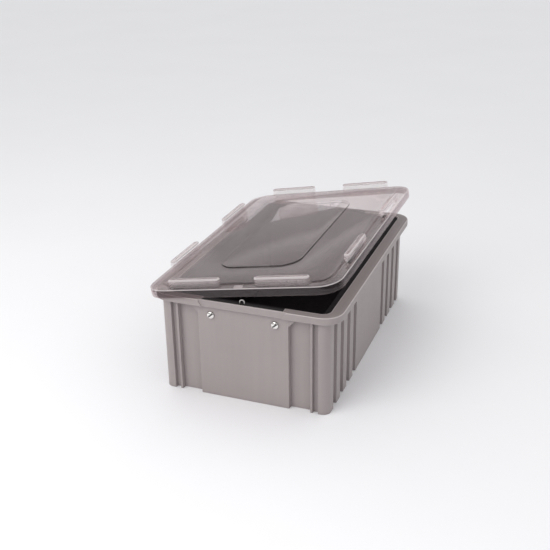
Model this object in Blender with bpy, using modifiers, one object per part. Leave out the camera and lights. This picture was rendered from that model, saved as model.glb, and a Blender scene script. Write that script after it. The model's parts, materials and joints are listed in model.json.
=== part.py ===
"""Divided-wall storage tote with an attached clear lid.

Frame: metres, +Z up, origin at the bottom centre of the tote. The long side runs
along Y, the lid is hinged along the -X side and the short walls face -Y and +Y.
"""
import math

import bmesh
import bpy
from mathutils import Matrix

# ---- driving sizes ------------------------------------------------------------
RIM_X, RIM_Y = 0.276, 0.420          # outer size of the rim
HEIGHT = 0.151                       # floor to rim top
RIM_OVER_X, RIM_OVER_Y = 0.0137, 0.0053   # rim overhang past the proud wall faces
WALL = 0.0032                        # wall thickness
FLOOR = 0.0032
GAP = 0.0003                         # gap between touching pieces

RIM_PLATE = 0.0034                   # thickness of the flat top of the rim
LIP_DEPTH = 0.010                    # how far the rim turns down
LIP = 0.0030                         # thickness of the turned-down lip
RIM_RADIUS = 0.028
WALL_RADIUS = 0.011
RIM_TOP_Y = 0.0125                   # width of the rim's flat top along the short walls
MOUTH_RADIUS = 0.012
LEDGE = 0.004                        # depth of the ledge the liner hangs on
RIM_ROUND = 0.0012                   # rounding of the rim's top edge

# ---- vertical channels in the walls -------------------------------------------
CHANNEL_DEPTH = 0.007
CHANNEL_SLOPE = 0.0014               # run of each channel's slanted side
LONG_CHANNEL_FIRST = 0.080           # centre of the channel beside the flat panel
LONG_CHANNEL_PITCH = 0.032
LONG_CHANNEL_HALF = 0.0070
END_PANEL_HALF = 0.067               # half width of the flat panel of a short wall
END_POST = 0.0273                    # width of the corner post of a short wall
END_RIDGE, END_GROOVE = 0.004, 0.007      # ridge and narrow groove in that post
END_GROOVE_DEPTH = 0.005

# ---- seal brackets and their screws -------------------------------------------
BRACKET_HALF = 0.0597
BRACKET_T = 0.0013
BRACKET_LEG = 0.034
SEAT_LIP = 0.0032                    # rim left in front of the bracket's seat
GRIP_DEPTH = 0.0013                  # set-back of the lip in front of the bracket
GRIP_LOW_HALF, GRIP_TOP_HALF = 0.0575, 0.0665   # its half width at the lip's foot and top
FLARE_W, FLARE_H = 0.013, 0.016      # flares beside the end panels, under the rim
NOTCH = 0.008                        # depth of the cut that lets the bracket's leg past
EYE_IN = 0.0060                      # from the rim's edge in to the eye
EYE_HEIGHT = 0.0072                  # above the rim
EYE_HALF = 0.0034                    # half spacing of the eye's legs
EYE_WIRE = 0.00085                   # radius of its wire
EYE_ARC_STEPS = 8
SCREW_X = 0.0474
SCREW_BELOW = 0.0235                 # below the rim top
SCREW_R = 0.0024
HEAD_R, HEAD_H, HEAD_EDGE = 0.0055, 0.0030, 0.0007
SCREW_END, SCREW_CHAMFER = 0.0006, 0.0005    # past the nut, and the chamfer of the tip
HEAD_SLOT_W, HEAD_SLOT_D = 0.0015, 0.0013
HEAD_SLOT_TURN = math.radians(38)
WASHER_R, WASHER_T = 0.0052, 0.0010
NUT_FLATS, NUT_T = 0.0080, 0.0022

# ---- liner --------------------------------------------------------------------
LINER_T = 0.0018
LINER_FLANGE_T = 0.0016
LINER_CLEAR = 0.0004
LINER_RADIUS = 0.008

# ---- lid ----------------------------------------------------------------------
LID_OVER_X, LID_OVER_Y = 0.0055, 0.00375  # how far the lid passes the rim
LID_T = 0.0024
LID_RADIUS = 0.030
SKIRT_BELOW = 0.0092                 # skirt depth below the rim top
PLATFORM_INSET, PLATFORM_RISE, PLATFORM_RADIUS = 0.0165, 0.0024, 0.020
PANEL_X, PANEL_Y, PANEL_RISE, PANEL_RADIUS = 0.125, 0.286, 0.0016, 0.030
LUG_W, LUG_H, LUG_EDGE = 0.0100, 0.0125, 0.0045
LUG_WALL = 0.0018
LID_ROUND, STEP_ROUND, LUG_ROUND = 0.0010, 0.0008, 0.0022
END_LUG_LEN, END_LUG_X = 0.079, 0.065
SIDE_LUG_LEN, SIDE_LUG_Y = 0.085, 0.093
SLOT_CLEAR_X, SLOT_CLEAR_Y = 0.00195, 0.00155   # round the seal eye

# ---- hinge --------------------------------------------------------------------
HINGE_OUT, HINGE_BELOW = 0.0015, 0.014    # from the rim's outer top edge
ROD_R = 0.0015
ROD_CLEAR = 0.0001                   # running clearance round the rod
KNUCKLE_R = 0.0034
KNUCKLE_LEN = 0.012
KNUCKLE_GAP = 0.0005
ROD_SHORT = 0.008                    # from the rim's corner curve to the rod's end
STATION_IN = 0.024                   # from the rod's end to the outer knuckles' centre
CAP_R, CAP_LEN, CAP_GRIP = 0.0030, 0.0060, 0.0040
WEB_IN, WEB_OUT = 0.0012, 0.0042      # the tote knuckles' webs, from the hinge axis
GUSSET_T, GUSSET_STOP, GUSSET_DROP = 0.0030, 0.0150, 0.024
STOP_CLEAR = 0.0006                  # the skirt's distance from the gussets, fully open
REST_OPEN = math.radians(10)         # the lid stands ajar at rest

# ---- sizes that follow ---------------------------------------------------------
WALL_X = RIM_X / 2 - RIM_OVER_X      # proud outer wall faces
WALL_Y = RIM_Y / 2 - RIM_OVER_Y
INNER_X = WALL_X - WALL
INNER_Y = WALL_Y - WALL
MOUTH_Y = RIM_Y / 2 - RIM_TOP_Y
SEAT_Y = RIM_Y / 2 - SEAT_LIP
EYE_Y = RIM_Y / 2 - EYE_IN
SCREW_HOLE_R = SCREW_R + GAP
LID_X, LID_Y = RIM_X + 2 * LID_OVER_X, RIM_Y + 2 * LID_OVER_Y
HINGE_X = -(RIM_X / 2 + HINGE_OUT)
HINGE_Z = HEIGHT - HINGE_BELOW
ROD_HOLE_R = ROD_R + ROD_CLEAR
ROD_HALF = RIM_Y / 2 - RIM_RADIUS - ROD_SHORT
STATION_Y = ROD_HALF - STATION_IN
STATIONS = [STATION_Y * share for share in (-1, -1 / 3, 1 / 3, 1)]
LID_UNDER = HEIGHT + GAP             # underside of the closed lid's edge band
STOP_X = 2 * HINGE_X + LID_X / 2 + STOP_CLEAR   # edge of the gussets that stops the skirt
PAST = 0.002                         # how far cutters run past what they cut
SINK = 0.001                         # how far a joined piece runs into its neighbour
SHY = 0.0002                         # keeps joined faces from lying in one plane
THROUGH = 0.03                       # length of the cutters for the screw holes
ROUND_SIDES = 24
SCREW_SIDES = 16


# ---- scene --------------------------------------------------------------------
def new_collection(name):
    collection = bpy.data.collections.new(name)
    bpy.context.scene.collection.children.link(collection)
    return collection


for old in list(bpy.data.objects):
    bpy.data.objects.remove(old, do_unlink=True)
PARTS = new_collection("attached_lid_tote")
CUTTERS = new_collection("cutters")


def material(name, colour, roughness, metallic=0.0, alpha=1.0):
    made = bpy.data.materials.new(name)
    made.use_nodes = True
    shader = made.node_tree.nodes["Principled BSDF"]
    shader.inputs["Base Color"].default_value = (*colour, 1.0)
    shader.inputs["Roughness"].default_value = roughness
    shader.inputs["Metallic"].default_value = metallic
    shader.inputs["Alpha"].default_value = alpha
    return made


GREY_PLASTIC = material("grey_plastic", (0.36, 0.33, 0.33), 0.55)
BLACK_PLASTIC = material("black_plastic", (0.012, 0.011, 0.012), 0.6)
CLEAR_PLASTIC = material("clear_plastic", (0.62, 0.58, 0.59), 0.12, alpha=0.45)
BLACK_STEEL = material("black_steel", (0.02, 0.02, 0.021), 0.45, 0.6)
BRIGHT_STEEL = material("bright_steel", (0.78, 0.76, 0.73), 0.28, 1.0)
ZINC_STEEL = material("zinc_steel", (0.62, 0.62, 0.60), 0.35, 1.0)


# ---- building blocks ----------------------------------------------------------
def place(name, mesh, paint=None):
    """Put a mesh in the scene, as a part if it has a material and else as a cutter."""
    obj = bpy.data.objects.new(name, mesh)
    if paint:
        PARTS.objects.link(obj)
        mesh.materials.clear()
        mesh.materials.append(paint)
    else:
        CUTTERS.objects.link(obj)
        obj.hide_render = True
        obj.display_type = "WIRE"
    return obj


def mesh_from(bm, name, matrix=None):
    if matrix:
        bm.transform(matrix)
    mesh = bpy.data.meshes.new(name)
    bm.to_mesh(mesh)
    bm.free()
    return mesh


def plate(name, outline, low, high, paint=None, soft_top=0.0, turn=None):
    """A flat outline standing from low to high along Z."""
    bm = bmesh.new()
    base = bm.faces.new([bm.verts.new((x, y, low)) for x, y in outline])
    raised = bmesh.ops.extrude_face_region(bm, geom=[base])["geom"]
    bmesh.ops.translate(bm, vec=(0, 0, high - low),
                        verts=[item for item in raised if isinstance(item, bmesh.types.BMVert)])
    bmesh.ops.recalc_face_normals(bm, faces=bm.faces)
    if soft_top:
        top = [edge for edge in bm.edges
               if all(abs(vert.co.z - high) < 1e-6 for vert in edge.verts)
               and edge.calc_face_angle(0.0) > 1.0]
        bmesh.ops.bevel(bm, geom=top, offset=soft_top, segments=2, profile=0.5,
                        affect="EDGES")
    return place(name, mesh_from(bm, name, turn), paint)


def box(name, low, high, paint=None):
    bm = bmesh.new()
    bmesh.ops.create_cube(bm, size=1.0)
    size = [b - a for a, b in zip(low, high)]
    middle = [(a + b) / 2 for a, b in zip(low, high)]
    matrix = Matrix.Translation(middle) @ Matrix.Diagonal((*size, 1.0))
    return place(name, mesh_from(bm, name, matrix), paint)


def rod_along_y(name, centre, radius, length, paint=None, sides=ROUND_SIDES):
    bm = bmesh.new()
    bmesh.ops.create_cone(bm, cap_ends=True, segments=sides, radius1=radius,
                          radius2=radius, depth=length)
    matrix = Matrix.Translation(centre) @ Matrix.Rotation(math.pi / 2, 4, "X")
    return place(name, mesh_from(bm, name, matrix), paint)


def combine(obj, tool, operation):
    step = obj.modifiers.new(tool.name, "BOOLEAN")
    step.operation = operation
    step.solver = "EXACT"
    step.object = tool


def cut(obj, tool):
    combine(obj, tool, "DIFFERENCE")


def join(obj, tool):
    combine(obj, tool, "UNION")


def rounded_rectangle(half_x, half_y, radius, steps=6, centre=(0.0, 0.0)):
    points = []
    for corner, (sx, sy) in enumerate(((1, 1), (-1, 1), (-1, -1), (1, -1))):
        for step in range(steps + 1):
            angle = math.pi / 2 * (corner + step / steps)
            points.append((centre[0] + sx * (half_x - radius) + radius * math.cos(angle),
                           centre[1] + sy * (half_y - radius) + radius * math.sin(angle)))
    return points


def channelled_side(channels):
    """Points (along, inward) of one wall whose channels are (start, end, depth)."""
    half = CHANNEL_SLOPE / 2
    points = []
    for start, end, depth in sorted(channels):
        points += [(start - half, 0), (start + half, depth), (end - half, depth),
                   (end + half, 0)]
    return points


def both_ways(channels):
    return channels + [(-end, -start, depth) for start, end, depth in channels]


def wall_outline(inset):
    """Plan of the walls: the outer faces, or the inner ones with inset = WALL."""
    half_x, half_y, radius = WALL_X - inset, WALL_Y - inset, WALL_RADIUS - inset
    room = WALL_Y - WALL_RADIUS - WALL - LONG_CHANNEL_HALF - CHANNEL_SLOPE
    count = int((room - LONG_CHANNEL_FIRST) / LONG_CHANNEL_PITCH) + 1
    centres = [LONG_CHANNEL_FIRST + k * LONG_CHANNEL_PITCH for k in range(count)]
    reach = LONG_CHANNEL_HALF + inset
    long_side = channelled_side(both_ways(
        [(c - reach, c + reach, CHANNEL_DEPTH) for c in centres]))
    post = WALL_X - END_POST
    groove = (post + END_RIDGE, post + END_RIDGE + END_GROOVE)
    if inset:
        end_channels = [(END_PANEL_HALF - inset, groove[1] + inset, CHANNEL_DEPTH)]
    else:
        end_channels = [(END_PANEL_HALF, post, CHANNEL_DEPTH), (*groove, END_GROOVE_DEPTH)]
    end_side = channelled_side(both_ways(end_channels))

    corners = rounded_rectangle(half_x, half_y, radius, steps=5)
    per_corner = len(corners) // 4
    right = [(half_x - inward, along) for along, inward in long_side]
    back = [(-along, half_y - inward) for along, inward in end_side]
    left = [(-x, -y) for x, y in right]
    front = [(-x, -y) for x, y in back]
    points = []
    for index, side in enumerate((back, left, front, right)):
        points += corners[index * per_corner:(index + 1) * per_corner] + side
    return points


# ---- tote body ----------------------------------------------------------------
def hinge_knuckle(name, y, length):
    return rod_along_y(name, (HINGE_X, y, HINGE_Z), KNUCKLE_R, length)


def knuckle_places(outer):
    """Centres of the knuckles: the outer two of each station, or its middle one."""
    step = KNUCKLE_LEN + KNUCKLE_GAP
    return [y + k * step for y in STATIONS for k in ((-1, 1) if outer else (0,))]


def make_tote_body():
    rim = rounded_rectangle(RIM_X / 2, RIM_Y / 2, RIM_RADIUS)
    body = plate("tote_body", rim, HEIGHT - LIP_DEPTH, HEIGHT, GREY_PLASTIC,
                 soft_top=RIM_ROUND)
    under = rounded_rectangle(RIM_X / 2 - LIP, RIM_Y / 2 - LIP, RIM_RADIUS - LIP)
    cut(body, plate("under_rim", under, HEIGHT - LIP_DEPTH - PAST, HEIGHT - RIM_PLATE))
    join(body, plate("wall_block", wall_outline(0.0), 0.0, HEIGHT - RIM_PLATE / 2))

    # flares where the flat end panels meet the rim, and the grip in front of each seat
    for side in (-1, 1):
        for end in (-1, 1):
            flare_top = HEIGHT - LIP_DEPTH + PAST
            flare = [(side * (END_PANEL_HALF - SINK), flare_top - FLARE_H),
                     (side * (END_PANEL_HALF - SINK), flare_top),
                     (side * (END_PANEL_HALF + FLARE_W), flare_top)]
            turn = Matrix.Rotation(math.pi / 2, 4, "X")
            depth = sorted((-end * (WALL_Y - CHANNEL_DEPTH - PAST), -end * (WALL_Y - 2 * SHY)))
            join(body, plate(f"flare_{side}_{end}", flare, *depth, turn=turn))
    for end in (-1, 1):
        grip = [(-GRIP_LOW_HALF, HEIGHT - LIP_DEPTH - PAST),
                (GRIP_LOW_HALF, HEIGHT - LIP_DEPTH - PAST),
                (GRIP_TOP_HALF, HEIGHT + PAST), (-GRIP_TOP_HALF, HEIGHT + PAST)]
        depth = sorted((-end * (RIM_Y / 2 - GRIP_DEPTH), -end * (RIM_Y / 2 + PAST)))
        cut(body, plate(f"grip_{end}", grip, *depth,
                        turn=Matrix.Rotation(math.pi / 2, 4, "X")))

    # hinge knuckles on gussets under the rim
    for number, y in enumerate(knuckle_places(outer=True)):
        join(body, hinge_knuckle(f"tote_knuckle_{number}", y, KNUCKLE_LEN))
        half = KNUCKLE_LEN / 2 - SHY
        join(body, box(f"tote_web_{number}",
                       (HINGE_X + WEB_IN, y - half, HINGE_Z - SINK),
                       (HINGE_X + WEB_OUT, y + half, HEIGHT - LIP_DEPTH + SINK)))
        gusset = [(STOP_X, HEIGHT - RIM_PLATE / 2), (STOP_X, HINGE_Z - GUSSET_STOP),
                  (-(WALL_X - SINK), HINGE_Z - GUSSET_DROP),
                  (-(WALL_X - CHANNEL_DEPTH - SINK), HINGE_Z - GUSSET_DROP),
                  (-(WALL_X - CHANNEL_DEPTH - SINK), HEIGHT - RIM_PLATE / 2)]
        join(body, plate(f"gusset_{number}", gusset, -y - GUSSET_T / 2, -y + GUSSET_T / 2,
                         turn=Matrix.Rotation(math.pi / 2, 4, "X")))
    cut(body, rod_along_y("tote_rod_hole", (HINGE_X, 0, HINGE_Z), ROD_HOLE_R, 2 * ROD_HALF))

    # the inside, the mouth with its ledge, and the bracket seats
    cut(body, plate("inside", wall_outline(WALL), FLOOR, HEIGHT - LEDGE + SINK))
    mouth = rounded_rectangle(INNER_X, MOUTH_Y, MOUTH_RADIUS)
    cut(body, plate("mouth", mouth, HEIGHT - LEDGE, HEIGHT + PAST))
    for end in (-1, 1):
        reach = BRACKET_HALF + GAP
        for name, outer, low in (("notch", INNER_Y, HEIGHT - NOTCH),
                                 ("seat", SEAT_Y, HEIGHT - BRACKET_T - GAP)):
            inner, outer = sorted((end * (MOUTH_Y - PAST), end * outer))
            cut(body, box(f"{name}_{end}", (-reach, inner, low),
                          (reach, outer, HEIGHT + PAST)))
    for end in (-1, 1):
        for side in (-1, 1):
            cut(body, rod_along_y(f"hole_{side}_{end}", screw_centre(side, end),
                                  SCREW_HOLE_R, THROUGH))


def screw_centre(side, end):
    return (side * SCREW_X, end * WALL_Y, HEIGHT - SCREW_BELOW)


# ---- liner --------------------------------------------------------------------
def make_liner():
    half_x = WALL_X - CHANNEL_DEPTH - WALL - LINER_CLEAR
    half_y = WALL_Y - CHANNEL_DEPTH - WALL - LINER_CLEAR
    top = HEIGHT - LEDGE + GAP + LINER_FLANGE_T
    flange = rounded_rectangle(INNER_X - LINER_CLEAR, MOUTH_Y - LINER_CLEAR,
                               MOUTH_RADIUS - LINER_CLEAR)
    liner = plate("liner", flange, top - LINER_FLANGE_T, top, BLACK_PLASTIC)
    outside = rounded_rectangle(half_x, half_y, LINER_RADIUS)
    inside = rounded_rectangle(half_x - LINER_T, half_y - LINER_T, LINER_RADIUS - LINER_T)
    join(liner, plate("liner_block", outside, FLOOR + GAP, top - LINER_FLANGE_T / 2))
    cut(liner, plate("liner_inside", inside, FLOOR + GAP + LINER_T, top + PAST))


# ---- seal brackets, eyes and screws -------------------------------------------
def make_bracket(name, end):
    leg_y = end * (INNER_Y - GAP), end * (INNER_Y - GAP - BRACKET_T)
    flange_y = end * (SEAT_Y - GAP), end * (INNER_Y - GAP - BRACKET_T)
    bracket = box(name, (-BRACKET_HALF, min(flange_y), HEIGHT - BRACKET_T),
                  (BRACKET_HALF, max(flange_y), HEIGHT), BLACK_STEEL)
    half = BRACKET_HALF - SHY
    join(bracket, box(f"{name}_leg", (-half, min(leg_y), HEIGHT - BRACKET_LEG),
                      (half, max(leg_y), HEIGHT - BRACKET_T / 2)))
    for side in (-1, 1):
        cut(bracket, rod_along_y(f"{name}_hole_{side}", screw_centre(side, end),
                                 SCREW_HOLE_R, THROUGH))
        hole = rounded_rectangle(EYE_WIRE + GAP, EYE_WIRE + GAP, EYE_WIRE + GAP, 3,
                                 (side * EYE_HALF, end * EYE_Y))
        cut(bracket, plate(f"{name}_eye_hole_{side}", hole,
                           HEIGHT - BRACKET_T - PAST, HEIGHT + PAST))


def make_eye(name, end):
    """A wire staple whose legs stand in the bracket's two holes."""
    top = HEIGHT + EYE_HEIGHT - EYE_WIRE - EYE_HALF
    route = [(-EYE_HALF, HEIGHT - BRACKET_T), (-EYE_HALF, top)]
    route += [(-EYE_HALF * math.cos(a), top + EYE_HALF * math.sin(a))
              for a in (math.pi * k / EYE_ARC_STEPS for k in range(1, EYE_ARC_STEPS))]
    route += [(EYE_HALF, top), (EYE_HALF, HEIGHT - BRACKET_T)]
    curve = bpy.data.curves.new(name, "CURVE")
    curve.dimensions = "3D"
    curve.bevel_depth = EYE_WIRE
    curve.bevel_resolution = 2
    curve.use_fill_caps = True
    spline = curve.splines.new("POLY")
    spline.points.add(len(route) - 1)
    for target, (x, z) in zip(spline.points, route):
        target.co = (x, end * EYE_Y, z, 1.0)
    curve.materials.append(BRIGHT_STEEL)
    PARTS.objects.link(bpy.data.objects.new(name, curve))


def make_screw(name, side, end):
    """Slotted truss-head screw from outside the wall, head and shank turned as one."""
    tip = WALL + BRACKET_T + WASHER_T + NUT_T + 3 * GAP + SCREW_END
    profile = [(0.0, HEAD_H + GAP)]
    dome = 3
    profile += [(HEAD_R * math.sin(a), GAP + HEAD_EDGE + (HEAD_H - HEAD_EDGE) * math.cos(a))
                for a in (math.pi / 2 * k / dome for k in range(1, dome + 1))]
    profile += [(HEAD_R, GAP), (SCREW_R, GAP), (SCREW_R, -tip + SCREW_CHAMFER),
                (SCREW_R - SCREW_CHAMFER, -tip), (0.0, -tip)]
    mesh = bpy.data.meshes.new(name)
    mesh.from_pydata([(r, 0.0, z) for r, z in profile],
                     [(k, k + 1) for k in range(len(profile) - 1)], [])
    screw = place(name, mesh, BRIGHT_STEEL)
    turned = screw.modifiers.new("turned", "SCREW")
    turned.axis = "Z"
    turned.steps = turned.render_steps = SCREW_SIDES
    turned.use_merge_vertices = True
    turned.merge_threshold = 1e-5
    slot = box(f"{name}_slot", (-2 * HEAD_R, -HEAD_SLOT_W / 2, GAP + HEAD_H - HEAD_SLOT_D),
               (2 * HEAD_R, HEAD_SLOT_W / 2, GAP + HEAD_H + PAST))
    cut(screw, slot)
    facing = (Matrix.Translation(screw_centre(side, end))
              @ Matrix.Rotation(math.pi if end > 0 else 0.0, 4, "Z")
              @ Matrix.Rotation(math.pi / 2, 4, "X")
              @ Matrix.Rotation(HEAD_SLOT_TURN, 4, "Z"))
    screw.matrix_world = facing
    slot.matrix_world = facing


def make_washer(name, side, end):
    x, _, z = screw_centre(side, end)
    y = INNER_Y - GAP - BRACKET_T - GAP - WASHER_T / 2
    washer = rod_along_y(name, (x, end * y, z), WASHER_R, WASHER_T, ZINC_STEEL)
    cut(washer, rod_along_y(f"{name}_hole", (x, end * y, z), SCREW_HOLE_R, THROUGH))


def make_nut(name, side, end):
    x, _, z = screw_centre(side, end)
    y = INNER_Y - BRACKET_T - WASHER_T - 3 * GAP - NUT_T / 2
    nut = rod_along_y(name, (x, end * y, z), NUT_FLATS / math.sqrt(3), NUT_T,
                      ZINC_STEEL, sides=6)
    cut(nut, rod_along_y(f"{name}_hole", (x, end * y, z), SCREW_HOLE_R, THROUGH))


# ---- lid, modelled closed, about the hinge axis --------------------------------
def lug_places():
    """Each lug's centre, length along X and length along Y."""
    inset = LUG_EDGE + LUG_W / 2
    for sx in (-1, 1):
        for sy in (-1, 1):
            yield (sx * END_LUG_X, sy * (LID_Y / 2 - inset)), END_LUG_LEN, LUG_W
            yield (sx * (LID_X / 2 - inset), sy * SIDE_LUG_Y), LUG_W, SIDE_LUG_LEN


def make_lid(axis):
    top = LID_UNDER + LID_T
    lid = plate("lid", rounded_rectangle(LID_X / 2, LID_Y / 2, LID_RADIUS),
                HEIGHT - SKIRT_BELOW, top, CLEAR_PLASTIC, soft_top=LID_ROUND)
    platform = (LID_X / 2 - PLATFORM_INSET, LID_Y / 2 - PLATFORM_INSET, PLATFORM_RADIUS)
    panel = (PANEL_X / 2, PANEL_Y / 2, PANEL_RADIUS)
    raised = top + PLATFORM_RISE
    tools = [(join, plate("platform", rounded_rectangle(*platform), top - LID_T / 2, raised,
                          soft_top=STEP_ROUND)),
             (join, plate("panel", rounded_rectangle(*panel), raised - LID_T / 2,
                          raised + PANEL_RISE, soft_top=STEP_ROUND))]
    for number, (centre, length_x, length_y) in enumerate(lug_places()):
        outline = rounded_rectangle(length_x / 2, length_y / 2, LUG_W / 2 - SHY, 4, centre)
        tools.append((join, plate(f"lug_{number}", outline, top - LID_T / 2, top + LUG_H,
                                  soft_top=LUG_ROUND)))
    for number, y in enumerate(knuckle_places(outer=False)):
        tools.append((join, hinge_knuckle(f"lid_knuckle_{number}", y, KNUCKLE_LEN)))
        half = KNUCKLE_LEN / 2 - SHY
        tools.append((join, box(f"lid_web_{number}", (-LID_X / 2 + SHY, y - half, HINGE_Z),
                                (-LID_X / 2 + LID_T - SHY, y + half,
                                 HEIGHT - SKIRT_BELOW + SINK))))

    # everything under the lid
    under = rounded_rectangle(LID_X / 2 - LID_T, LID_Y / 2 - LID_T, LID_RADIUS - LID_T)
    tools.append((cut, plate("lid_inside", under, HEIGHT - SKIRT_BELOW - PAST, LID_UNDER)))
    for name, (half_x, half_y, radius), low, high in (
            ("platform_inside", platform, LID_UNDER - PAST, LID_UNDER + PLATFORM_RISE),
            ("panel_inside", panel, LID_UNDER, LID_UNDER + PLATFORM_RISE + PANEL_RISE)):
        smaller = rounded_rectangle(half_x - LID_T, half_y - LID_T, radius - LID_T)
        tools.append((cut, plate(name, smaller, low, high)))
    for number, (centre, length_x, length_y) in enumerate(lug_places()):
        outline = rounded_rectangle(length_x / 2 - LUG_WALL, length_y / 2 - LUG_WALL,
                                    LUG_W / 2 - LUG_WALL - SHY, 4, centre)
        tools.append((cut, plate(f"lug_inside_{number}", outline, LID_UNDER - PAST,
                                 top + LUG_H - LUG_WALL)))
    for end in (-1, 1):
        slot = rounded_rectangle(EYE_HALF + EYE_WIRE + SLOT_CLEAR_X, EYE_WIRE + SLOT_CLEAR_Y,
                                 SLOT_CLEAR_Y, 4, (0.0, end * EYE_Y))
        tools.append((cut, plate(f"seal_slot_{end}", slot, LID_UNDER - PAST, top + PAST)))
    tools.append((cut, rod_along_y("lid_rod_hole", (HINGE_X, 0, HINGE_Z), ROD_HOLE_R,
                                   2 * ROD_HALF)))

    to_axis = Matrix.Translation((-HINGE_X, 0, -HINGE_Z))
    lid.data.transform(to_axis)
    lid.parent = axis
    for operation, tool in tools:
        tool.data.transform(to_axis)
        tool.parent = axis
        operation(lid, tool)


# ---- hinge rod and its caps ---------------------------------------------------
def make_rod_cap(name, end):
    inner = end * (ROD_HALF - CAP_GRIP)
    outer = inner + end * CAP_LEN
    cap = rod_along_y(name, (HINGE_X, (inner + outer) / 2, HINGE_Z), CAP_R, CAP_LEN,
                      BLACK_PLASTIC)
    depth = CAP_GRIP + GAP
    cut(cap, rod_along_y(f"{name}_socket",
                         (HINGE_X, inner + end * (depth - PAST) / 2, HINGE_Z),
                         ROD_HOLE_R, depth + PAST))


make_tote_body()
make_liner()
for end, end_name in ((-1, "front"), (1, "back")):
    make_bracket(f"seal_bracket_{end_name}", end)
    make_eye(f"seal_eye_{end_name}", end)
    for side, side_name in ((-1, "left"), (1, "right")):
        make_screw(f"screw_{end_name}_{side_name}", side, end)
        make_washer(f"washer_{end_name}_{side_name}", side, end)
        make_nut(f"nut_{end_name}_{side_name}", side, end)

hinge_axis = bpy.data.objects.new("hinge_axis", None)
PARTS.objects.link(hinge_axis)
hinge_axis.location = (HINGE_X, 0.0, HINGE_Z)
hinge_axis.rotation_euler = (0.0, -REST_OPEN, 0.0)
make_lid(hinge_axis)
rod_along_y("hinge_rod", (HINGE_X, 0, HINGE_Z), ROD_R, 2 * ROD_HALF, ZINC_STEEL)
make_rod_cap("hinge_cap_front", -1)
make_rod_cap("hinge_cap_back", 1)

for part in PARTS.objects:
    if part.type == "MESH":
        part.data.shade_smooth()
        part.data.set_sharp_from_angle(angle=math.radians(30))
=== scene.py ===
"""Studio view of the lidded tote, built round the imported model.

Frame: metres, +Z up, origin at the bottom centre of the tote, front short wall at -Y.
"""
import json
import math

import bmesh
import bpy
from mathutils import Matrix, Vector


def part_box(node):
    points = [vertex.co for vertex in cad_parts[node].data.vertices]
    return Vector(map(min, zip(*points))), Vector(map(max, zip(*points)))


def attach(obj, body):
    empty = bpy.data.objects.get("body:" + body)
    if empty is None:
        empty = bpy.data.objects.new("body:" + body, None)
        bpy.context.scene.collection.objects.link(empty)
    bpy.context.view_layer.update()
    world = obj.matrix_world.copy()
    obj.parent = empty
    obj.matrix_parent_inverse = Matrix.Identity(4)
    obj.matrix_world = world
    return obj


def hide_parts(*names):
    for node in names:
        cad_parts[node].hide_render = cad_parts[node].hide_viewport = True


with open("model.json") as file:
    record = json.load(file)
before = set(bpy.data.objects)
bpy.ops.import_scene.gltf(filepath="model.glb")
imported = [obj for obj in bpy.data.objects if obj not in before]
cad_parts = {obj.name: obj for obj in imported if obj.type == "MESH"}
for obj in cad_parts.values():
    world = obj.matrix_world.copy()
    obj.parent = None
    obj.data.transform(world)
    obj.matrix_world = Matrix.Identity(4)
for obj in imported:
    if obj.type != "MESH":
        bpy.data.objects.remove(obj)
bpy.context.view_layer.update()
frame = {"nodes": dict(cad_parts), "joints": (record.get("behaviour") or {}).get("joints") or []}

ENDS = ("front", "back")
SIDES = ("left", "right")

# Lid, with heights from the hinge axis and reaches from its middle, as if it were shut
LID_AJAR = math.radians(10)      # how far the lid stands open at rest
# the lid's paints, in the order of its material slots; after the first come lit and shaded copies
# of the same clear plastic: painted light on the lug sides, painted highlight on the edges, painted
# shade on the panel step and skirt
LID_PAINTS = ["clear_plastic", "clear_lug", "clear_edge", "clear_step", "clear_skirt"]
LUG_FROM = 0.0202                # the lugs stand clear of the panel above this height
LID_RADIUS = 0.030               # corner radius in plan
LID_BORDER, LID_SKIRT = 0.0013, 0.0045    # depths of the rounded border and of the skirt wall
PANEL_REACH = (0.0645, 0.145)    # takes in the raised panel
EYE_SLOT = (0.0065, 0.198)       # most reach across and least along of the slots for the eyes
ROUND_LOW, ROUND_HIGH = 0.15, 0.97    # upward share of the normal on rounded edges

# Tote
RIM_BAND = (0.1478, 0.1488)      # heights over which a wall turns into the top of the rim
EDGE_REACH = 0.0015              # width of the painted highlight along an edge, and of the rounding that the rim's painted shade and highlight follow

# Colours, linear
GREY_LOW, GREY_HIGH = (0.350, 0.306, 0.306), (0.376, 0.329, 0.329)
# the first is a painted highlight along edges; the second is real scuffing
GREY_EDGE_HIGHLIGHT, GREY_SCUFFED = (0.60, 0.555, 0.55), (0.46, 0.42, 0.43)
# painted shade: the first darkens hollows and grooves, the second the top of the rim
GREY_HOLLOW_SHADE, RIM_TOP_SHADE = (0.13, 0.112, 0.113), (0.115, 0.098, 0.098)
# painted highlight on the rim's outer rounded edge
RIM_HIGHLIGHT = (0.70, 0.655, 0.65)
BLACK_LOW, BLACK_HIGH = (0.009, 0.008, 0.009), (0.014, 0.012, 0.013)
BLACK_DUST = (0.04, 0.036, 0.037)
MIRROR_TINT = (1.0, 0.915, 0.925)
# painted shade in the steel's hollows and screw slots
STEEL_HOLLOW_SHADE = (0.012, 0.011, 0.011)
FLOOR_LOW, FLOOR_HIGH = (0.915, 0.917, 0.938), (0.93, 0.932, 0.953)

# Pieces kept from the CAD, and the radius of their rounded edges
SHARP = math.radians(33)         # sharper edges are rounded and stay crisp
FLAT = math.radians(0.5)         # faces that meet at less than this are one face
WELD = 2e-6
BEVEL_SEGMENTS = 2
BODY_ROUND, LINER_ROUND, LID_ROUND, BRACKET_ROUND = 0.0006, 0.0005, 0.0004, 0.00025

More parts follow.
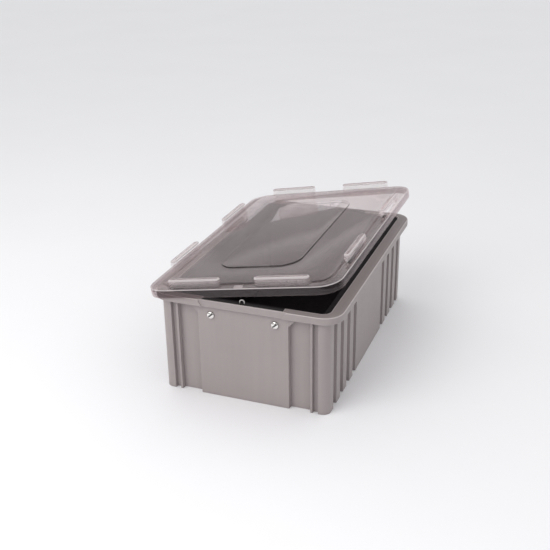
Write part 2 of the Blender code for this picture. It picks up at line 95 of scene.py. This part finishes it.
# Turned pieces
TURNED_SIDES, TURNED_WELD = 40, 1e-7
HEAD_H, HEAD_EDGE, HEAD_EASE = 0.0030, 0.0007, 0.0002
DOME_STEPS = 10
SHANK_R, HOLE_CLEAR = 0.0024, 0.0003
HEAD_SLOT_W, HEAD_SLOT_D = 0.0021, 0.0020    # more than the CAD's, so that the slots read dark
HEAD_SLOT_TURN = math.radians(38)
THREAD_PITCH, THREAD_DEPTH = 0.0008, 0.00030
THREAD_CREST = 0.1               # share of the pitch that is flat on each side of a groove
WASHER_EASE, NUT_EASE, ROD_EASE = 0.00015, 0.0007, 0.0004
SPARE = 0.0001                   # how far a cutting shape reaches past the piece
CAP_CLEAR, CAP_END = 0.0001, 0.0003       # room round the rod and at its end
CAP_DOME, CAP_DOME_STEPS, CAP_RING = 0.0012, 6, 0.00035
CAP_GROOVE = (0.55, 0.60, 0.72, 0.77)     # shares of the length where the grip ring bends
EYE_STEPS, EYE_ROUNDING = 20, 4

# Studio; the sky's tables are pairs of direction, from -1 to 1, and light
FLOOR_RADIUS, FLOOR_SIDES, FLOOR_DROP = 9.0, 96, 0.0002
SKY_BY_HEIGHT = ((-0.2, 0.25), (0.10, 0.42), (0.22, 0.48), (0.285, 0.76), (0.34, 0.97), (1.0, 0.76))
SKY_BY_DEPTH = ((-1.0, 0.35), (-0.2, 0.75), (0.3, 1.0))
SKY_SEEN = (0.77, 0.775, 0.79, 1.0)    # what the camera sees past the floor
SKY_STRENGTH = 1.18
KEY_PLACE, KEY_TARGET = (-0.58, -1.25, 1.25), (0.0, -0.1, 0.0)
KEY_SIZE, KEY_POWER, KEY_COLOUR = 1.2, 14.0, (1.0, 0.985, 0.975)
CAMERA_PLACE = (0.4322, -1.2013, 0.6797)
CAMERA_PITCH, CAMERA_YAW, CAMERA_ROLL = (math.radians(angle) for angle in (24.11, 21.05, -0.88))
CAMERA_LENS, CAMERA_SENSOR = 58.43, 36.0


# ---- node materials ------------------------------------------------------------
class Paint:
    """A material whose nodes are added one call at a time."""

    def __init__(self, name):
        self.material = bpy.data.materials.new(name)
        self.material.use_nodes = True
        self.tree = self.material.node_tree
        self.tree.nodes.clear()
        self.output = self.node("ShaderNodeOutputMaterial")
        self.place = self.node("ShaderNodeTexCoord").outputs["Object"]

    def node(self, kind, settings=None, **inputs):
        made = self.tree.nodes.new(kind)
        for key, value in (settings or {}).items():
            setattr(made, key, value)
        for key, value in inputs.items():
            self.put(made.inputs[key.replace("_", " ")], value)
        return made

    def put(self, socket, value):
        """Link or set a socket; a colour may be given as three numbers."""
        if isinstance(value, bpy.types.NodeSocket):
            self.tree.links.new(value, socket)
        elif hasattr(socket.default_value, "__len__") and not hasattr(value, "__len__"):
            socket.default_value = [value] * len(socket.default_value)
        elif socket.type == "RGBA":
            socket.default_value = (*value, 1.0)
        else:
            socket.default_value = value

    def stretched(self, scale):
        return self.node("ShaderNodeMapping", Vector=self.place, Scale=scale).outputs[0]

    def noise(self, scale, detail=3.0, roughness=0.55, vector=None):
        return self.node("ShaderNodeTexNoise", Vector=vector or self.place, Scale=scale,
                         Detail=detail, Roughness=roughness).outputs["Fac"]

    def cells(self, scale, output="Distance"):
        return self.node("ShaderNodeTexVoronoi", Vector=self.place, Scale=scale).outputs[output]

    def ramp(self, factor, *stops):
        made = self.node("ShaderNodeValToRGB", Fac=factor)
        while len(made.color_ramp.elements) < len(stops):
            made.color_ramp.elements.new(0.5)
        for element, (position, colour) in zip(made.color_ramp.elements, stops):
            element.position = position
            element.color = (*colour, 1.0) if hasattr(colour, "__len__") else (*[colour] * 3, 1)
        return made.outputs["Color"]

    def math(self, operation, *values, clamp=False):
        made = self.node("ShaderNodeMath", {"operation": operation, "use_clamp": clamp})
        for socket, value in zip(made.inputs, values):
            self.put(socket, value)
        return made.outputs[0]

    def spread(self, factor, low, high, low_in=0.0, high_in=1.0):
        """The factor's range low_in to high_in carried to low to high."""
        return self.node("ShaderNodeMapRange", **{
            "Value": factor, "From_Min": low_in, "From_Max": high_in,
            "To_Min": low, "To_Max": high}).outputs[0]

    def rise(self, factor, start, end):
        """0 up to start, 1 from end on."""
        return self.spread(factor, 0.0, 1.0, start, end)

    def times(self, first, second):
        return self.math("MULTIPLY", first, second)

    def mix(self, factor, first, second, blend="MIX"):
        made = self.node("ShaderNodeMix", {"data_type": "RGBA", "blend_type": blend})
        for socket, value in ((made.inputs[0], factor), (made.inputs[6], first),
                              (made.inputs[7], second)):
            self.put(socket, value)
        return made.outputs[2]

    def soft_normal(self, radius):
        """The surface normal as if the edges were rounded with the radius."""
        return self.node("ShaderNodeBevel", {"samples": 6}, Radius=radius).outputs[0]

    def upright(self, vector):
        return self.node("ShaderNodeSeparateXYZ", Vector=vector).outputs["Z"]

    def edges(self, soft):
        """1 on edges that the soft normal rounds over, 0 on flat faces."""
        sharp = self.node("ShaderNodeNewGeometry").outputs["Normal"]
        same = self.node("ShaderNodeVectorMath", {"operation": "DOT_PRODUCT"})
        self.put(same.inputs[0], soft)
        self.put(same.inputs[1], sharp)
        return self.spread(same.outputs["Value"], 1.0, 0.0, 0.80, 0.995)

    def painted_shade(self, reach, most, shut=0.35, clear=0.85):
        """Rises to most in corners and narrow grooves, where painted shade darkens the colour."""
        openness = self.node("ShaderNodeAmbientOcclusion", {"samples": 6},
                             Distance=reach).outputs["AO"]
        return self.spread(openness, most, 0.0, shut, clear)

    def bump(self, height, strength, distance, normal=None):
        made = self.node("ShaderNodeBump", Height=height, Strength=strength,
                         Distance=distance)
        if normal:
            self.put(made.inputs["Normal"], normal)
        return made.outputs[0]

    def principled(self, **inputs):
        return self.node("ShaderNodeBsdfPrincipled", **inputs).outputs[0]

    def mix_shaders(self, factor, first, second):
        made = self.node("ShaderNodeMixShader", Fac=factor)
        self.tree.links.new(first, made.inputs[1])
        self.tree.links.new(second, made.inputs[2])
        return made.outputs[0]

    def finish(self, shader):
        self.tree.links.new(shader, self.output.inputs["Surface"])
        return self.material


def grey_plastic():
    """Moulded polypropylene: faint flow streaks, fine grain, scuffs, painted highlights along the
    edges, painted shade in hollows, and a rim with a painted shade on its top and a painted
    highlight on its outer edge."""
    p = Paint("moulded_grey")
    blotch = p.noise(14.0, 4.0)
    streak = p.noise(1.0, 4.0, 0.6, p.stretched((110.0, 110.0, 6.0)))
    colour = p.ramp(blotch, (0.30, GREY_LOW), (0.70, GREY_HIGH))
    colour = p.mix(0.10, colour, p.ramp(streak, (0.35, 0.42), (0.65, 0.58)), "OVERLAY")
    soft = p.soft_normal(EDGE_REACH)
    # painted highlight: edges lightened, broken up by noise
    edge_highlight = p.times(p.edges(soft), p.spread(p.noise(95.0, 5.0), 0.25, 1.0, 0.40, 0.60))
    colour = p.mix(p.times(edge_highlight, 0.60), colour, GREY_EDGE_HIGHLIGHT)
    scratch = p.noise(1.0, 6.0, 0.7, p.stretched((60.0, 60.0, 900.0)))
    scuff = p.times(p.rise(scratch, 0.60, 0.72), p.rise(p.noise(20.0, 2.0), 0.52, 0.66))
    colour = p.mix(p.times(scuff, 0.25), colour, GREY_SCUFFED)
    # painted shade: darker in corners, grooves and under the rim lip
    colour = p.mix(p.painted_shade(reach=0.008, most=0.32), colour, GREY_HOLLOW_SHADE)
    upward = p.upright(soft)
    on_rim = p.rise(p.upright(p.place), *RIM_BAND)
    # painted shade: the flat top of the rim darkened
    rim_shade = p.times(on_rim, p.spread(upward, 0.0, 0.62, 0.93, 0.99))
    colour = p.mix(rim_shade, colour, RIM_TOP_SHADE)
    # painted highlight: the rim's outer rounded edge lightened
    rim_highlight = p.times(p.spread(upward, 0.0, 0.85, 0.25, 0.45),
                        p.spread(upward, 1.0, 0.0, 0.90, 0.97))
    colour = p.mix(p.times(rim_highlight, on_rim), colour, RIM_HIGHLIGHT)
    rough = p.spread(p.math("ADD", blotch, p.noise(420.0, 2.0)), 0.40, 0.60, 0.7, 1.3)
    grain = p.bump(p.cells(2600.0), 0.16, 0.00012)
    wavy = p.bump(p.noise(38.0, 2.0), 0.12, 0.0012, grain)
    return p.finish(p.principled(Base_Color=colour, Roughness=rough, Normal=wavy))


def black_plastic():
    """Matt black plastic with a little dust in a fine grain."""
    p = Paint("moulded_black")
    colour = p.ramp(p.noise(45.0, 5.0), (0.3, BLACK_LOW), (0.7, BLACK_HIGH))
    dust = p.rise(p.noise(700.0, 3.0), 0.62, 0.75)
    colour = p.mix(p.times(dust, 0.15), colour, BLACK_DUST)
    rough = p.spread(p.noise(160.0, 3.0), 0.55, 0.72, 0.3, 0.7)
    grain = p.bump(p.cells(1500.0), 0.08, 0.00015)
    return p.finish(p.principled(Base_Color=colour, Roughness=rough, Normal=grain,
                                 Specular_IOR_Level=0.06))


def clear_plastic(name, tint, haze, milk, head_on=0.055, scratched=0.02):
    """Clear plastic: a mirror that grows from head_on towards grazing angles, over a tinted
    clear body with a share of milky haze and fine scratches."""
    p = Paint(name)
    facing = p.node("ShaderNodeLayerWeight", Blend=0.5).outputs["Facing"]
    shine = p.spread(p.math("POWER", facing, 5.0), head_on, 1.0)
    scratch = p.noise(1.0, 5.0, 0.7, p.stretched((30.0, 1500.0, 30.0)))
    cross = p.noise(1.0, 5.0, 0.7, p.stretched((1300.0, 40.0, 40.0)))
    fine = p.math("MAXIMUM", p.rise(scratch, 0.64, 0.72), p.rise(cross, 0.66, 0.74))
    cloud = p.math("ADD", p.spread(p.noise(30.0, 5.0), *haze, 0.3, 0.7),
                   p.times(fine, scratched), clamp=True)
    wavy = p.bump(p.noise(26.0, 2.0), 0.10, 0.0012)
    low, high = (tuple(c + shift for c in tint) for shift in (-0.010, 0.010))
    clear = p.node("ShaderNodeBsdfTransparent",
                   Color=p.ramp(p.noise(12.0, 2.0), (0.3, low), (0.7, high))).outputs[0]
    cloudy = p.node("ShaderNodeBsdfDiffuse", Color=milk).outputs[0]
    mirror = p.node("ShaderNodeBsdfGlossy", Color=MIRROR_TINT,
                    Roughness=p.spread(p.noise(60.0, 4.0), 0.03, 0.08, 0.3, 0.7),
                    Normal=wavy).outputs[0]
    return p.finish(p.mix_shaders(shine, p.mix_shaders(cloud, clear, cloudy), mirror))


def steel(name, low, high, rough, metallic=1.0, spangle=False, scratches=0.5, specular=0.5):
    """Plated or coated steel with fine scratches, grime spots and painted shade that darkens its
    hollows and slots.
    """
    p = Paint(name)
    pattern = p.cells(420.0, "Color") if spangle else p.noise(160.0, 5.0)
    colour = p.ramp(pattern, (0.25, low), (0.75, high))
    scratch = p.noise(1.0, 6.0, 0.7, p.stretched((2600.0, 120.0, 300.0)))
    roughness = p.spread(scratch, *rough, 0.35, 0.68)
    spots = p.rise(p.noise(520.0, 4.0), 0.56, 0.74)
    colour = p.mix(p.times(spots, 0.35), colour, [c * 0.45 for c in low])
    # painted shade: near black in hollows and screw slots
    colour = p.mix(p.painted_shade(0.0038, 0.98, 0.60, 0.90), colour, STEEL_HOLLOW_SHADE)
    fine = p.bump(scratch, scratches, 0.00003)
    return p.finish(p.principled(Base_Color=colour, Metallic=metallic,
                                 Roughness=roughness, Specular_IOR_Level=specular, Normal=fine))


PAINTS = {
    "grey_plastic": grey_plastic(),
    "black_plastic": black_plastic(),
    "clear_plastic": clear_plastic("clear_smoke", (0.89, 0.86, 0.86), (0.018, 0.038),
                                   (0.84, 0.76, 0.765)),
    # a lighter, milkier copy of the lid plastic: painted light on the lug sides
    "clear_lug": clear_plastic("clear_lug", (0.99, 0.985, 0.985), (0.035, 0.055),
                               (0.95, 0.89, 0.89), head_on=0.03),
    # a milky copy of the lid plastic: painted highlight on rounded edges and eye slots
    "clear_edge": clear_plastic("clear_edge", (0.92, 0.90, 0.90), (0.68, 0.80),
                                (0.64, 0.59, 0.60)),
    # a dark copy of the lid plastic: painted shade on the raised panel's step
    "clear_step": clear_plastic("clear_step", (0.50, 0.48, 0.48), (0.01, 0.03),
                                (0.20, 0.17, 0.17), head_on=0.02, scratched=0.01),
    # a dark copy of the lid plastic: painted shade on the skirt
    "clear_skirt": clear_plastic("clear_skirt", (0.66, 0.61, 0.62), (0.002, 0.008),
                                 (0.60, 0.52, 0.53), head_on=0.035, scratched=0.004),
    "black_steel": steel("coated_steel", (0.008, 0.008, 0.008), (0.016, 0.015, 0.016),
                         (0.45, 0.65), metallic=0.0, specular=0.15),
    "bright_steel": steel("nickel_steel", (0.80, 0.78, 0.76), (0.90, 0.88, 0.85),
                          (0.12, 0.30), scratches=0.25),
    "zinc_steel": steel("zinc_steel", (0.50, 0.50, 0.49), (0.70, 0.70, 0.68),
                        (0.26, 0.42), spangle=True),
}


# ---- finer pieces --------------------------------------------------------------
def new_object(name, data):
    made = bpy.data.objects.new(name, data)
    bpy.context.scene.collection.objects.link(made)
    return made


def add_piece(node, mesh, slot, body, paint=None):
    """A finished mesh as a smooth-shaded piece that stands for a CAD node."""
    mesh.materials.clear()
    mesh.materials.append(PAINTS[paint or slot])
    piece = new_object(f"{node}_fine", mesh)
    mesh.shade_smooth()
    mesh.set_sharp_from_angle(angle=SHARP)
    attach(piece, body)
    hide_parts(node)
    return piece


def refined(node, slot, body, width):
    """The CAD node with its flat faces merged and its edges rounded."""
    mesh = frame["nodes"][node].data.copy()
    bm = bmesh.new()
    bm.from_mesh(mesh)
    bmesh.ops.remove_doubles(bm, verts=bm.verts, dist=WELD)
    bmesh.ops.dissolve_limit(bm, angle_limit=FLAT, verts=bm.verts, edges=bm.edges)
    bm.to_mesh(mesh)
    bm.free()
    for layer in [a for a in mesh.attributes if a.name == "custom_normal"]:
        mesh.attributes.remove(layer)
    piece = add_piece(node, mesh, slot, body)
    round_over = piece.modifiers.new("rounded", "BEVEL")
    round_over.width, round_over.segments = width, BEVEL_SEGMENTS
    round_over.limit_method, round_over.angle_limit = "ANGLE", SHARP
    round_over.use_clamp_overlap = True
    return piece


def paint_lid(lid):
    """Lit and shaded copies of the clear plastic: lug sides painted lighter and milkier, a painted
    highlight on the rounded edges and eye slots, and painted shade on the skirt and panel step.

    The rounding is split in two, so that the panel's edge takes its own paint.
    """
    hinge = frame["joints"][0]
    pivot = Vector(hinge["pos_m"])
    shut = Matrix.Rotation(-LID_AJAR, 3, Vector(hinge["axis"]))
    for slot in LID_PAINTS[1:]:
        lid.data.materials.append(PAINTS[slot])
    bm = bmesh.new()
    bm.from_mesh(lid.data)
    spots = {face: shut @ (face.calc_center_median() - pivot) for face in bm.faces}
    half_x, half_y = (max(abs(spot[k] + pivot[k]) for spot in spots.values()) for k in (0, 1))
    for face, spot in spots.items():
        slope = abs((shut @ face.normal).z)
        across, along = abs(spot.x + pivot.x), abs(spot.y + pivot.y)
        corner = math.hypot(max(across - half_x + LID_RADIUS, 0.0),
                            max(along - half_y + LID_RADIUS, 0.0))
        outer = max(across - half_x, along - half_y, corner - LID_RADIUS)
        # faces go to lit and shaded copies: painted highlight on edges and eye slots, painted light
        # on lug sides, painted shade on the panel step and skirt
        kind = "clear_plastic"
        if ROUND_LOW < slope < ROUND_HIGH and (spot.z > LUG_FROM or outer > -LID_BORDER):
            kind = "clear_edge"
        elif (slope < ROUND_LOW and across < EYE_SLOT[0] and along > EYE_SLOT[1]
              and outer < -LID_SKIRT):
            kind = "clear_edge"
        elif spot.z > LUG_FROM and slope < ROUND_HIGH:
            kind = "clear_lug"
        elif slope < ROUND_HIGH and across < PANEL_REACH[0] and along < PANEL_REACH[1]:
            kind = "clear_step"
        elif slope < ROUND_LOW and outer > -LID_SKIRT:
            kind = "clear_skirt"
        face.material_index = LID_PAINTS.index(kind)
    round_over = lid.modifiers["rounded"]
    panel = lid.modifiers.new("panel", "BEVEL")
    panel.width, panel.segments = round_over.width, round_over.segments
    for change, kind in ((round_over, "clear_edge"), (panel, "clear_step")):
        change.limit_method, change.edge_weight = "WEIGHT", kind
        change.material = LID_PAINTS.index(kind)
        layer = bm.edges.layers.float.new(kind)
        for edge in bm.edges:
            if len(edge.link_faces) == 2 and edge.calc_face_angle() > SHARP:
                spot = shut @ ((edge.verts[0].co + edge.verts[1].co) / 2 - pivot)
                inner = (abs(spot.x + pivot.x) < PANEL_REACH[0]
                         and abs(spot.y + pivot.y) < PANEL_REACH[1])
                edge[layer] = 1.0 if inner == (kind == "clear_step") else 0.0
    bm.to_mesh(lid.data)
    bm.free()


def lathe(profile, ring=False):
    """A bmesh turned about Z from (radius, height) points; a ring's profile is closed."""
    bm = bmesh.new()
    verts = [bm.verts.new((radius, 0.0, height)) for radius, height in profile]
    following = verts[1:] + verts[:1] if ring else verts[1:]
    edges = [bm.edges.new(pair) for pair in zip(verts, following)]
    bmesh.ops.spin(bm, geom=verts + edges, axis=(0, 0, 1), cent=(0, 0, 0),
                   angle=2 * math.pi, steps=TURNED_SIDES, use_merge=True)
    bmesh.ops.remove_doubles(bm, verts=bm.verts, dist=TURNED_WELD)
    bmesh.ops.recalc_face_normals(bm, faces=bm.faces)
    return bm


def to_mesh(bm, name, matrix):
    """The bmesh as a mesh, moved by the matrix; the bmesh is freed."""
    bm.transform(matrix)
    mesh = bpy.data.meshes.new(name)
    bm.to_mesh(mesh)
    bm.free()
    return mesh


def combined(mesh, tool_mesh, operation):
    """The mesh with a second one cut from it or met with it."""
    objects = [new_object("step", data) for data in (mesh, tool_mesh)]
    change = objects[0].modifiers.new("change", "BOOLEAN")
    change.operation, change.solver, change.object = operation, "EXACT", objects[1]
    evaluated = objects[0].evaluated_get(bpy.context.evaluated_depsgraph_get())
    result = bpy.data.meshes.new_from_object(evaluated)
    for obj in objects:
        bpy.data.objects.remove(obj)
    return result


def facing(node, outward, middle_y):
    """Matrix from a turned shape's own frame, +Z outward, to its place at a CAD node."""
    low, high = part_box(node)
    place = Vector(((low.x + high.x) / 2, middle_y, (low.z + high.z) / 2))
    return (Matrix.Translation(place)
            @ Matrix.Rotation(math.pi if outward > 0 else 0.0, 4, "Z")
            @ Matrix.Rotation(math.pi / 2, 4, "X"))


def make_screw(node, outward):
    """Truss-head screw with a straight slot across it and a chamfered, threaded shank."""
    low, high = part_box(node)
    radius, length = (high.x - low.x) / 2, high.y - low.y
    top = low.y if outward < 0 else high.y
    dome = [math.pi / 2 * k / DOME_STEPS for k in range(DOME_STEPS + 1)]
    profile = [(radius * math.sin(a), (HEAD_H - HEAD_EDGE) * (math.cos(a) - 1)) for a in dome]
    profile += [(radius, -HEAD_H + HEAD_EASE), (radius - HEAD_EASE, -HEAD_H), (SHANK_R, -HEAD_H)]
    for k in range(int((length - HEAD_H) / THREAD_PITCH)):
        at = -HEAD_H - k * THREAD_PITCH
        profile += [(SHANK_R, at - THREAD_PITCH * THREAD_CREST),
                    (SHANK_R - THREAD_DEPTH, at - THREAD_PITCH / 2),
                    (SHANK_R, at - THREAD_PITCH * (1 - THREAD_CREST))]
    profile += [(SHANK_R - 2 * THREAD_DEPTH, -length), (0.0, -length)]
    place = facing(node, outward, top)
    screw = to_mesh(lathe(profile), node, place)
    slot = bmesh.new()
    bmesh.ops.create_cube(slot, size=1.0)
    slot_mesh = to_mesh(slot, "slot", place @ Matrix.Rotation(HEAD_SLOT_TURN, 4, "Z")
                        @ Matrix.Diagonal((4 * radius, HEAD_SLOT_W, 2 * HEAD_SLOT_D, 1.0)))
    return combined(screw, slot_mesh, "DIFFERENCE")


def make_washer(node, outward):
    """Flat washer with its outer face eased."""
    low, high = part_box(node)
    outer, half = (high.x - low.x) / 2, (high.y - low.y) / 2
    ease, inner = WASHER_EASE, SHANK_R + HOLE_CLEAR
    profile = [(inner, half - ease), (inner + ease, half), (outer - 2 * ease, half),
               (outer, half - 2 * ease), (outer, -half), (inner, -half)]
    return to_mesh(lathe(profile, ring=True), node, facing(node, outward, (low.y + high.y) / 2))


def make_nut(node, outward):
    """Hexagon nut with its corners turned to a cone on both faces."""
    low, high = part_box(node)
    half = (high.y - low.y) / 2
    corner = max(high.z - low.z, high.x - low.x) / 2
    flats = corner * math.cos(math.pi / 6)
    profile = [(0.0, half), (flats, half), (corner + SPARE, half - NUT_EASE),
               (corner + SPARE, -half + NUT_EASE), (flats, -half), (0.0, -half)]
    cone = to_mesh(lathe(profile), "cone", facing(node, outward, (low.y + high.y) / 2))
    return combined(frame["nodes"][node].data.copy(), cone, "INTERSECT")


def make_rod(node):
    """Round bar with chamfered ends."""
    low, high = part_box(node)
    radius, half, ease = (high.x - low.x) / 2, (high.y - low.y) / 2, ROD_EASE
    profile = [(0.0, half), (radius - ease, half), (radius, half - ease),
               (radius, -half + ease), (radius - ease, -half), (0.0, -half)]
    return to_mesh(lathe(profile), node, facing(node, -1, 0.0))


def make_cap(node, outward):
    """Push-on cap with a domed end, a grip ring and an open socket."""
    low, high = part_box(node)
    radius, length = (high.x - low.x) / 2, high.y - low.y
    rod_low, rod_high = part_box("hinge_rod")
    bore = (rod_high.x - rod_low.x) / 2 + CAP_CLEAR
    end_y = high.y if outward > 0 else low.y
    depth = abs(end_y) - (rod_high.y - rod_low.y) / 2 - CAP_END
    dome = [math.pi / 2 * k / CAP_DOME_STEPS for k in range(CAP_DOME_STEPS + 1)]
    profile = [(radius * math.sin(a), CAP_DOME * (math.cos(a) - 1)) for a in dome]
    profile += [(edge, -length * share) for edge, share in zip(
        (radius, radius - CAP_RING, radius - CAP_RING, radius), CAP_GROOVE)]
    profile += [(radius, -length + CAP_RING), (radius - CAP_RING, -length),
                (bore, -length), (bore, -depth), (0.0, -depth)]
    return to_mesh(lathe(profile), node, facing(node, outward, end_y))


def make_eye(node):
    """The wire staple, with a rounder wire and bend than the CAD one."""
    low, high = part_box(node)
    wire = (high.y - low.y) / 2
    half, y = (high.x - low.x) / 2 - wire, (low.y + high.y) / 2
    top = high.z - wire - half
    route = [(-half, low.z), (-half, (low.z + top) / 2)]
    route += [(-half * math.cos(a), top + half * math.sin(a))
              for a in (math.pi * k / EYE_STEPS for k in range(EYE_STEPS + 1))]
    route += [(half, (low.z + top) / 2), (half, low.z)]
    curve = bpy.data.curves.new(node, "CURVE")
    curve.dimensions, curve.bevel_depth, curve.bevel_resolution = "3D", wire, EYE_ROUNDING
    curve.use_fill_caps = True
    spline = curve.splines.new("POLY")
    spline.points.add(len(route) - 1)
    for target, (x, z) in zip(spline.points, route):
        target.co = (x, y, z, 1.0)
    step = new_object("step", curve)
    evaluated = step.evaluated_get(bpy.context.evaluated_depsgraph_get())
    mesh = bpy.data.meshes.new_from_object(evaluated)
    bpy.data.objects.remove(step)
    return mesh


refined("tote_body", "grey_plastic", "tote", BODY_ROUND)
refined("liner", "black_plastic", "tote", LINER_ROUND)
paint_lid(refined("lid", "clear_plastic", "lid", LID_ROUND))

for outward, end in zip((-1, 1), ENDS):
    refined(f"seal_bracket_{end}", "black_steel", "tote", BRACKET_ROUND)
    eye = f"seal_eye_{end}"
    add_piece(eye, make_eye(eye), "bright_steel", "tote", paint="zinc_steel")
    cap = f"hinge_cap_{end}"
    add_piece(cap, make_cap(cap, outward), "black_plastic", "tote")
    for side in SIDES:
        for kind, make, slot in (("screw", make_screw, "bright_steel"),
                                 ("washer", make_washer, "zinc_steel"),
                                 ("nut", make_nut, "zinc_steel")):
            node = f"{kind}_{end}_{side}"
            add_piece(node, make(node, outward), slot, "tote")
add_piece("hinge_rod", make_rod("hinge_rod"), "zinc_steel", "tote")


# ---- floor, light and camera ---------------------------------------------------
def make_floor():
    """A wide pale matt floor just under the tote."""
    p = Paint("studio_floor")
    colour = p.ramp(p.noise(3.0, 3.0), (0.3, FLOOR_LOW), (0.7, FLOOR_HIGH))
    paint = p.finish(p.principled(Base_Color=colour, Roughness=0.75))
    bm = bmesh.new()
    bmesh.ops.create_circle(bm, cap_ends=True, segments=FLOOR_SIDES, radius=FLOOR_RADIUS)
    mesh = bpy.data.meshes.new("floor")
    bm.to_mesh(mesh)
    bm.free()
    mesh.materials.append(paint)
    floor = new_object("floor", mesh)
    floor.location.z = -FLOOR_DROP


def make_world():
    """Bright overhead and behind the object, dimmer behind the camera and low down.

    The camera itself sees one even colour.
    """
    world = bpy.data.worlds.new("studio")
    world.use_nodes = True
    nodes, links = world.node_tree.nodes, world.node_tree.links
    back = nodes["Background"]
    way = nodes.new("ShaderNodeSeparateXYZ")
    links.new(nodes.new("ShaderNodeTexCoord").outputs["Generated"], way.inputs[0])
    shares = []
    for output, stops in (("Z", SKY_BY_HEIGHT), ("Y", SKY_BY_DEPTH)):
        span = nodes.new("ShaderNodeMapRange")
        span.inputs["From Min"].default_value = -1.0
        links.new(way.outputs[output], span.inputs["Value"])
        ramp = nodes.new("ShaderNodeValToRGB")
        links.new(span.outputs[0], ramp.inputs[0])
        while len(ramp.color_ramp.elements) < len(stops):
            ramp.color_ramp.elements.new(0.5)
        for element, (value, light) in zip(ramp.color_ramp.elements, stops):
            element.position = value / 2 + 0.5
            element.color = (light, light, light, 1.0)
        shares.append(ramp.outputs[0])
    both = nodes.new("ShaderNodeMix")
    both.data_type, both.blend_type = "RGBA", "MULTIPLY"
    both.inputs[0].default_value = 1.0
    links.new(shares[0], both.inputs[6])
    links.new(shares[1], both.inputs[7])
    seen = nodes.new("ShaderNodeMix")
    seen.data_type = "RGBA"
    links.new(nodes.new("ShaderNodeLightPath").outputs["Is Camera Ray"], seen.inputs[0])
    links.new(both.outputs[2], seen.inputs[6])
    seen.inputs[7].default_value = SKY_SEEN
    links.new(seen.outputs[2], back.inputs["Color"])
    back.inputs["Strength"].default_value = SKY_STRENGTH
    bpy.context.scene.world = world


def make_key_light():
    """One large soft light from the front left."""
    light = bpy.data.lights.new("key", "AREA")
    light.shape = "RECTANGLE"
    light.size = light.size_y = KEY_SIZE
    light.energy = KEY_POWER
    light.color = KEY_COLOUR
    lamp = new_object("key", light)
    lamp.location = KEY_PLACE
    ahead = Vector(KEY_TARGET) - Vector(KEY_PLACE)
    lamp.rotation_euler = ahead.to_track_quat("-Z", "Y").to_euler()


def make_camera():
    """The photograph's viewpoint: looking down and a little from the right."""
    level = math.cos(CAMERA_PITCH)
    ahead = Vector((-math.sin(CAMERA_YAW) * level, math.cos(CAMERA_YAW) * level,
                    -math.sin(CAMERA_PITCH)))
    right = Vector((math.cos(CAMERA_YAW), math.sin(CAMERA_YAW), 0.0))
    up = right.cross(ahead)
    turned_right = right * math.cos(CAMERA_ROLL) + up * math.sin(CAMERA_ROLL)
    turned_up = up * math.cos(CAMERA_ROLL) - right * math.sin(CAMERA_ROLL)
    camera = new_object("camera", bpy.data.cameras.new("camera"))
    camera.data.lens = CAMERA_LENS
    camera.data.sensor_width = CAMERA_SENSOR
    turn = Matrix((turned_right, turned_up, -ahead)).transposed().to_4x4()
    camera.matrix_world = Matrix.Translation(CAMERA_PLACE) @ turn
    bpy.context.scene.camera = camera


make_floor()
make_world()
make_key_light()
make_camera()
bpy.context.scene.view_settings.view_transform = "Standard"
